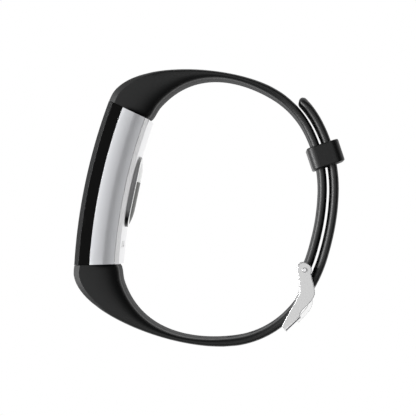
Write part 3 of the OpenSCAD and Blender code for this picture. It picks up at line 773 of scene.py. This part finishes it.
buckle_low, buckle_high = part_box("buckle_frame")
plate = 1.2 * MM
facet_width = 0.75 * MM
facet_drop = 0.08 * MM
touching = 0.01 * MM
outline = smoothed(rim_of("buckle_frame"), 3)
plates = bmesh.new()
for low in (buckle_low.z, buckle_high.z - plate):
    slab(plates, outline, low, low + plate)
bmesh.ops.recalc_face_normals(plates, faces=plates.faces)
# The plates' outer edge at the crossbar, the longest straight one that faces away from the wrist,
# is ground to a shallow facet.
heart = sum(outline, Vector()) / len(outline)
ground = []
for start, end in zip(outline, outline[1:] + outline[:1]):
    away = Vector(((end - start).y, (start - end).x, 0)).normalized()
    away *= math.copysign(1, away.dot(start - heart))
    if away.x > 0.3 and away.y < -0.3:
        ground.append(((end - start).length, start, away))
_, corner, away = max(ground, key=lambda item: item[0])
bmesh.ops.bisect_plane(plates, geom=plates.verts[:] + plates.edges[:] + plates.faces[:],
                       plane_co=corner.xy.to_3d() - away * facet_width, plane_no=away)
for vertex in plates.verts:
    if (vertex.co - corner).dot(away) > -0.1 * MM:
        if abs(vertex.co.z - buckle_high.z) < touching:
            vertex.co.z -= facet_drop
        elif abs(vertex.co.z - buckle_low.z) < touching:
            vertex.co.z += facet_drop
for face in plates.faces:
    face.material_index = int(0.5 < abs(face.normal.z) and face.calc_center_median().dot(away)
                              > corner.dot(away) - facet_width)
piece = new_piece("buckle_plates", plates)
piece.data.materials.append(satin_steel)
piece.data.materials.append(polished_steel)
cut(piece, rod("tip_bore", 0.55 * MM, 14 * MM, pin))


def polish(edge):
    """How far an edge is rounded in polishing, as a share: wholly at the crossbar, and less round
    the bore and on the side towards the case."""
    middle = (edge.verts[0].co + edge.verts[1].co) / 2
    if (middle.xy - pin.xy).length < 0.8 * MM:
        return 0.2
    if (middle - corner).dot(away) > -0.1 * MM:
        return 1.0
    wall_face = min(edge.link_faces, key=lambda face: abs(face.normal.z))
    return 0.42 if wall_face.normal.x > 0 else 0.14


round_edges(piece, 0.56, 4, bevel_slot=1, weigh=polish)
# The rounds' corners stand a little proud, so the plates are drawn in until those are flush.
half_width = (buckle_high.z - buckle_low.z) / 2
buckle_middle = buckle_low.z + half_width
proud = max(vertex.co.z for vertex in piece.data.vertices) - buckle_high.z
for vertex in piece.data.vertices:
    vertex.co.z = buckle_middle + (vertex.co.z - buckle_middle) * half_width / (half_width + proud)

crossbar = merged_copy("buckle_frame")
sunk = 0.9 * plate                        # its ends reach a little way into the plates
for height, facing in ((buckle_low.z + sunk, -1), (buckle_high.z - sunk, 1)):
    trim(crossbar, (0, 0, height), (0, 0, facing))
crossbar.data.materials.append(satin_steel)
crossbar.data.materials.append(polished_steel)
round_edges(crossbar, 0.2, 2, bevel_slot=1)
for part in (piece, crossbar):
    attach(part, "buckle")
    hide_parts("buckle_frame")

tang_low, tang_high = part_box("tang")
rise = (tang_high.z - tang_low.z) / 2
shape = bmesh.new()
slab(shape, smoothed(rim_of("tang", 0.5 * rise), 2), pin.z - rise, pin.z + rise)
bmesh.ops.recalc_face_normals(shape, faces=shape.faces)
piece = new_piece("tang_rod", shape)
piece.data.materials.append(tang_finish)
cut(piece, rod("tang_bore", 0.95 * MM, 2 * MM, pin))
round_edges(piece, 0.28, 3)
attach(piece, "tang_body")
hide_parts("tang")

# ---- Inside and small parts --------------------------------------------------------------------
# The parts inside the case keep their CAD shapes, each in the finish of the real one. The spring
# bar is a steel tube with a coil spring in it, which pushes a tip into each side plate's bore.

# Bar stock turned and polished: bright, with soft reflections. Spring wire is drawn, so darker.
bar_steel = finish("turned_stainless_pin", "#d9dadb", 0.28, 1.0, 0.3, 0.03)
spring_steel = finish("music_wire", "#9b9da0", 0.3, 1.0, 0.2, 0.05)
# Each row: name, colour, roughness, metallic, grain in millimetres, drift and relief.
finishes = {
    "spring_bar_tube": bar_steel,
    # Foam and rubber seals: dull, dark and grainy.
    "glass_gasket": finish("black_foam_gasket", "#141414", 0.9, 0.0, 0.15, 0.2, 0.4),
    "back_gasket": finish("silicone_rubber_seal", "#1f2021", 0.7, 0.0, 0.3, 0.1, 0.2),
    # The display's laminate is glossy and almost black; its flex is translucent amber film.
    "display_panel": finish("display_laminate", "#0c0f14", 0.12, 0.0, 0.5, 0.05, 0.02),
    "display_flex": finish("polyimide_flex", "#a8641c", 0.35, 0.0, 0.3, 0.1),
    # Glass-filled nylon, moulded: dark grey with a slight bloom of fibres at the surface.
    "mid_frame": finish("glass_filled_nylon", "#26282b", 0.6, 0.0, 0.25, 0.15, 0.3),
    "upper_insert": finish("upper_insert_nylon", "#202224", 0.6, 0.0, 0.25, 0.15, 0.3),
    "lower_insert": finish("lower_insert_nylon", "#202224", 0.6, 0.0, 0.25, 0.15, 0.3),
    # Solder mask over a woven laminate: deep green with a soft gloss.
    "main_board": finish("solder_masked_laminate", "#14502c", 0.4, 0.0, 0.6, 0.12),
    "sensor_board": finish("sensor_board_laminate", "#17492b", 0.4, 0.0, 0.5, 0.12),
    # Moulded epoxy is matt and speckled; clear or smoked epoxy over a chip is glossy.
    "chipset": finish("epoxy_moulding_compound", "#17181a", 0.6, 0.0, 0.12, 0.2, 0.3),
    "sensor_leds": finish("clear_green_led_epoxy", "#6fcf72", 0.15, 0.0, 0.3, 0.05, 0.02),
    "photodiode": finish("smoked_photodiode", "#2a2236", 0.15, 0.0, 0.3, 0.05, 0.02),
    # The cell's foil is silvery and slightly wrinkled, and its lead's plastic a plain glossy red.
    "battery": finish("pouch_cell_foil", "#b4b6b8", 0.3, 0.9, 1.2, 0.08, 0.3),
    "battery_lead": finish("pvc_insulated_wire", "#a01c1a", 0.45, 0.0, 0.4, 0.05),
    # Plated and sintered metals: bright where they are drawn or plated, duller where sintered.
    "shield_can": finish("tinned_steel", "#b9bbbc", 0.32, 1.0, 0.8, 0.06),
    "motor_can": finish("nickel_plated_motor_can", "#c2c0ba", 0.25, 1.0, 0.4, 0.04),
    "motor_rotor": finish("tungsten_weight", "#77787b", 0.4, 1.0, 0.3, 0.08),
    "antenna": finish("gold_plated_antenna", "#c9a24a", 0.3, 1.0, 0.3, 0.05),
    "charging_contacts": finish("nickel_plated_contact", "#8d8c88", 0.3, 1.0, 0.3, 0.05),
    "strap_screws": finish("passivated_screw_steel", "#8f9194", 0.32, 1.0, 0.3, 0.05),
}
for node in ("spring_bar_tip_front", "spring_bar_tip_rear"):
    piece = merged_copy(node)
    piece.data.materials.append(polished_steel)
    round_edges(piece, 0.3, 4, sharp_deg=60)
    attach(piece, node.replace("spring_", ""))
    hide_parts(node)
# The bar's spring is parted at its middle coil into two halves, both attached to the case.
coil_low, coil_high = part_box("bar_spring")
middle = (coil_low + coil_high) / 2
for end, facing in (("front", 1), ("rear", -1)):
    piece = merged_copy("bar_spring")
    piece.name = "bar_spring_" + end
    trim(piece, middle, (0, 0, -facing))
    piece.data.materials.append(spring_steel)
    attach(piece, "case")
    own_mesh(piece)
    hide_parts("bar_spring")
for node, material in finishes.items():
    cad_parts[node].data.materials.clear()
    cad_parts[node].data.materials.append(material)
